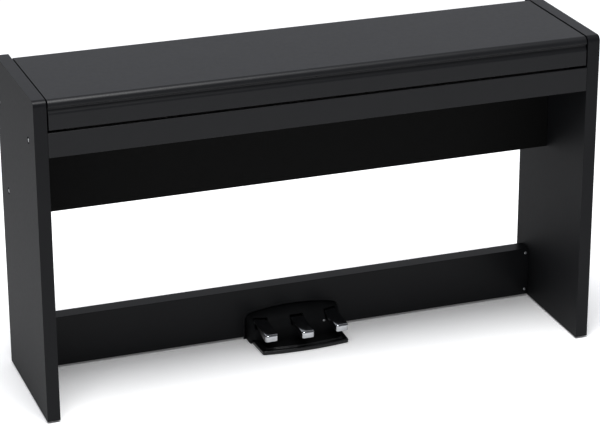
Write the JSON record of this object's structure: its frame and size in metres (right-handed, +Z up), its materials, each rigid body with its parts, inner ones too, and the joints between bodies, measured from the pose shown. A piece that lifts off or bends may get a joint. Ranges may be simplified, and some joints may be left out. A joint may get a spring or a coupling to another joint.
{
  "type": "digital piano on stand",
  "caption": "Compact full-size keyboard digital piano in a dark panel stand, with a hinged one-piece key cover, speaker box, lower beam and a pedal unit.",
  "frame": {"origin": "on the floor, at the middle of the footprint (bottom centre of the closed piano)", "axes": "+X to the player's right, the player sits on the -Y side, +Z up"},
  "size_m": [1.355, 0.351, 0.772],
  "materials": {
    "laminate": "satin black laminate on particle board",
    "hardboard": "dark hardboard",
    "glide": "matte",
    "plastic": "fine-textured black",
    "speaker": "paper cone in a dark frame",
    "steel": "zinc plated",
    "chrome": "polished",
    "circuit_board": "solder mask",
    "ivory": "satin gloss off-white",
    "ebony": "satin black"
  },
  "bodies": {
    "stand": {"side_panel_left": "laminate", "side_panel_right": "laminate", "glide_front_left": "glide", "glide_front_right": "glide", "glide_rear_left": "glide", "glide_rear_right": "glide", "front_rail": "laminate", "keybed": "laminate", "speaker_box_front": "laminate", "speaker_box_bottom": "laminate", "rear_board": "laminate", "lower_beam": "laminate", "rear_cover": "hardboard", "speaker_left": "speaker", "speaker_grille_left": "plastic", "speaker_right": "speaker", "speaker_grille_right": "plastic", "socket_plate": "plastic", "headphone_box": "plastic", "key_chassis": "steel", "key_pivot_rod": "steel", "cheek_block_left": "laminate", "cheek_block_right": "laminate", "control_panel": "laminate", "main_board": "circuit_board", "music_ledge": "plastic", "lid_pin_left": "steel", "lid_pin_right": "steel", "pedal_base": "plastic", "pedal_cover": "plastic", "pedal_shaft": "steel", "pedal_spring_left": "steel", "pedal_spring_middle": "steel", "pedal_spring_right": "steel"},
    "lid": {"lid": "laminate", "lid_arm_left": "steel", "lid_arm_right": "steel"},
    "naturals_octave_1": {"naturals_octave_1": "ivory"},
    "sharps_octave_1": {"sharps_octave_1": "ebony"},
    "naturals_octave_2": {"naturals_octave_2": "ivory"},
    "sharps_octave_2": {"sharps_octave_2": "ebony"},
    "naturals_octave_3": {"naturals_octave_3": "ivory"},
    "sharps_octave_3": {"sharps_octave_3": "ebony"},
    "naturals_octave_4": {"naturals_octave_4": "ivory"},
    "sharps_octave_4": {"sharps_octave_4": "ebony"},
    "naturals_octave_5": {"naturals_octave_5": "ivory"},
    "sharps_octave_5": {"sharps_octave_5": "ebony"},
    "naturals_octave_6": {"naturals_octave_6": "ivory"},
    "sharps_octave_6": {"sharps_octave_6": "ebony"},
    "naturals_octave_7": {"naturals_octave_7": "ivory"},
    "sharps_octave_7": {"sharps_octave_7": "ebony"},
    "pedal_left": {"pedal_left": "chrome"},
    "pedal_middle": {"pedal_middle": "chrome"},
    "pedal_right": {"pedal_right": "chrome"},
    "power_button": {"power_button": "plastic"},
    "volume_knob": {"volume_knob": "plastic"},
    "sound_button_1": {"sound_button_1": "plastic"},
    "sound_button_2": {"sound_button_2": "plastic"},
    "sound_button_3": {"sound_button_3": "plastic"},
    "sound_button_4": {"sound_button_4": "plastic"}
  },
  "joints": [
    {"name": "lid_hinge", "type": "hinge", "parent": "stand", "child": "lid", "pos_m": [0, 0.1, 0.735], "axis": [-1, 0, 0], "range_deg": [0, 95]},
    {"name": "naturals_1_press", "type": "hinge", "parent": "stand", "child": "naturals_octave_1", "pos_m": [0, 0.076, 0.69], "axis": [1, 0, 0], "range_deg": [0, 2.6], "stiffness_Nm_per_rad": 12, "springref_deg": -8.02},
    {"name": "sharps_1_press", "type": "hinge", "parent": "stand", "child": "sharps_octave_1", "pos_m": [0, 0.076, 0.69], "axis": [1, 0, 0], "range_deg": [0, 3], "stiffness_Nm_per_rad": 6, "springref_deg": -6.88},
    {"name": "naturals_2_press", "type": "hinge", "parent": "stand", "child": "naturals_octave_2", "pos_m": [0, 0.076, 0.69], "axis": [1, 0, 0], "range_deg": [0, 2.6], "stiffness_Nm_per_rad": 12, "springref_deg": -8.02},
    {"name": "sharps_2_press", "type": "hinge", "parent": "stand", "child": "sharps_octave_2", "pos_m": [0, 0.076, 0.69], "axis": [1, 0, 0], "range_deg": [0, 3], "stiffness_Nm_per_rad": 6, "springref_deg": -6.88},
    {"name": "naturals_3_press", "type": "hinge", "parent": "stand", "child": "naturals_octave_3", "pos_m": [0, 0.076, 0.69], "axis": [1, 0, 0], "range_deg": [0, 2.6], "stiffness_Nm_per_rad": 12, "springref_deg": -8.02},
    {"name": "sharps_3_press", "type": "hinge", "parent": "stand", "child": "sharps_octave_3", "pos_m": [0, 0.076, 0.69], "axis": [1, 0, 0], "range_deg": [0, 3], "stiffness_Nm_per_rad": 6, "springref_deg": -6.88},
    {"name": "naturals_4_press", "type": "hinge", "parent": "stand", "child": "naturals_octave_4", "pos_m": [0, 0.076, 0.69], "axis": [1, 0, 0], "range_deg": [0, 2.6], "stiffness_Nm_per_rad": 12, "springref_deg": -8.02},
    {"name": "sharps_4_press", "type": "hinge", "parent": "stand", "child": "sharps_octave_4", "pos_m": [0, 0.076, 0.69], "axis": [1, 0, 0], "range_deg": [0, 3], "stiffness_Nm_per_rad": 6, "springref_deg": -6.88},
    {"name": "naturals_5_press", "type": "hinge", "parent": "stand", "child": "naturals_octave_5", "pos_m": [0, 0.076, 0.69], "axis": [1, 0, 0], "range_deg": [0, 2.6], "stiffness_Nm_per_rad": 12, "springref_deg": -8.02},
    {"name": "sharps_5_press", "type": "hinge", "parent": "stand", "child": "sharps_octave_5", "pos_m": [0, 0.076, 0.69], "axis": [1, 0, 0], "range_deg": [0, 3], "stiffness_Nm_per_rad": 6, "springref_deg": -6.88},
    {"name": "naturals_6_press", "type": "hinge", "parent": "stand", "child": "naturals_octave_6", "pos_m": [0, 0.076, 0.69], "axis": [1, 0, 0], "range_deg": [0, 2.6], "stiffness_Nm_per_rad": 12, "springref_deg": -8.02},
    {"name": "sharps_6_press", "type": "hinge", "parent": "stand", "child": "sharps_octave_6", "pos_m": [0, 0.076, 0.69], "axis": [1, 0, 0], "range_deg": [0, 3], "stiffness_Nm_per_rad": 6, "springref_deg": -6.88},
    {"name": "naturals_7_press", "type": "hinge", "parent": "stand", "child": "naturals_octave_7", "pos_m": [0, 0.076, 0.69], "axis": [1, 0, 0], "range_deg": [0, 2.6], "stiffness_Nm_per_rad": 12, "springref_deg": -8.02},
    {"name": "sharps_7_press", "type": "hinge", "parent": "stand", "child": "sharps_octave_7", "pos_m": [0, 0.076, 0.69], "axis": [1, 0, 0], "range_deg": [0, 3], "stiffness_Nm_per_rad": 6, "springref_deg": -6.88},
    {"name": "pedal_left_press", "type": "hinge", "parent": "stand", "child": "pedal_left", "pos_m": [-0.08, 0.0903, 0.049], "axis": [1, 0, 0], "range_deg": [0, 9], "stiffness_Nm_per_rad": 8, "springref_deg": -14.32, "deforming": ["pedal_spring_left"]},
    {"name": "pedal_middle_press", "type": "hinge", "parent": "stand", "child": "pedal_middle", "pos_m": [0.01, 0.0903, 0.049], "axis": [1, 0, 0], "range_deg": [0, 9], "stiffness_Nm_per_rad": 8, "springref_deg": -14.32, "deforming": ["pedal_spring_middle"]},
    {"name": "pedal_right_press", "type": "hinge", "parent": "stand", "child": "pedal_right", "pos_m": [0.1, 0.0903, 0.049], "axis": [1, 0, 0], "range_deg": [0, 9], "stiffness_Nm_per_rad": 8, "springref_deg": -14.32, "deforming": ["pedal_spring_right"]},
    {"name": "power_button_press", "type": "slide", "parent": "stand", "child": "power_button", "axis": [0, 0, -1], "range_m": [0, 0.0015], "stiffness_N_per_m": 600, "springref_m": -0.001},
    {"name": "volume_knob_turn", "type": "hinge", "parent": "stand", "child": "volume_knob", "pos_m": [-0.52, 0.04, 0.735], "axis": [0, 0, -1], "range_deg": [-150, 150]},
    {"name": "sound_button_1_press", "type": "slide", "parent": "stand", "child": "sound_button_1", "axis": [0, 0, -1], "range_m": [0, 0.0015], "stiffness_N_per_m": 600, "springref_m": -0.001},
    {"name": "sound_button_2_press", "type": "slide", "parent": "stand", "child": "sound_button_2", "axis": [0, 0, -1], "range_m": [0, 0.0015], "stiffness_N_per_m": 600, "springref_m": -0.001},
    {"name": "sound_button_3_press", "type": "slide", "parent": "stand", "child": "sound_button_3", "axis": [0, 0, -1], "range_m": [0, 0.0015], "stiffness_N_per_m": 600, "springref_m": -0.001},
    {"name": "sound_button_4_press", "type": "slide", "parent": "stand", "child": "sound_button_4", "axis": [0, 0, -1], "range_m": [0, 0.0015], "stiffness_N_per_m": 600, "springref_m": -0.001}
  ]
}
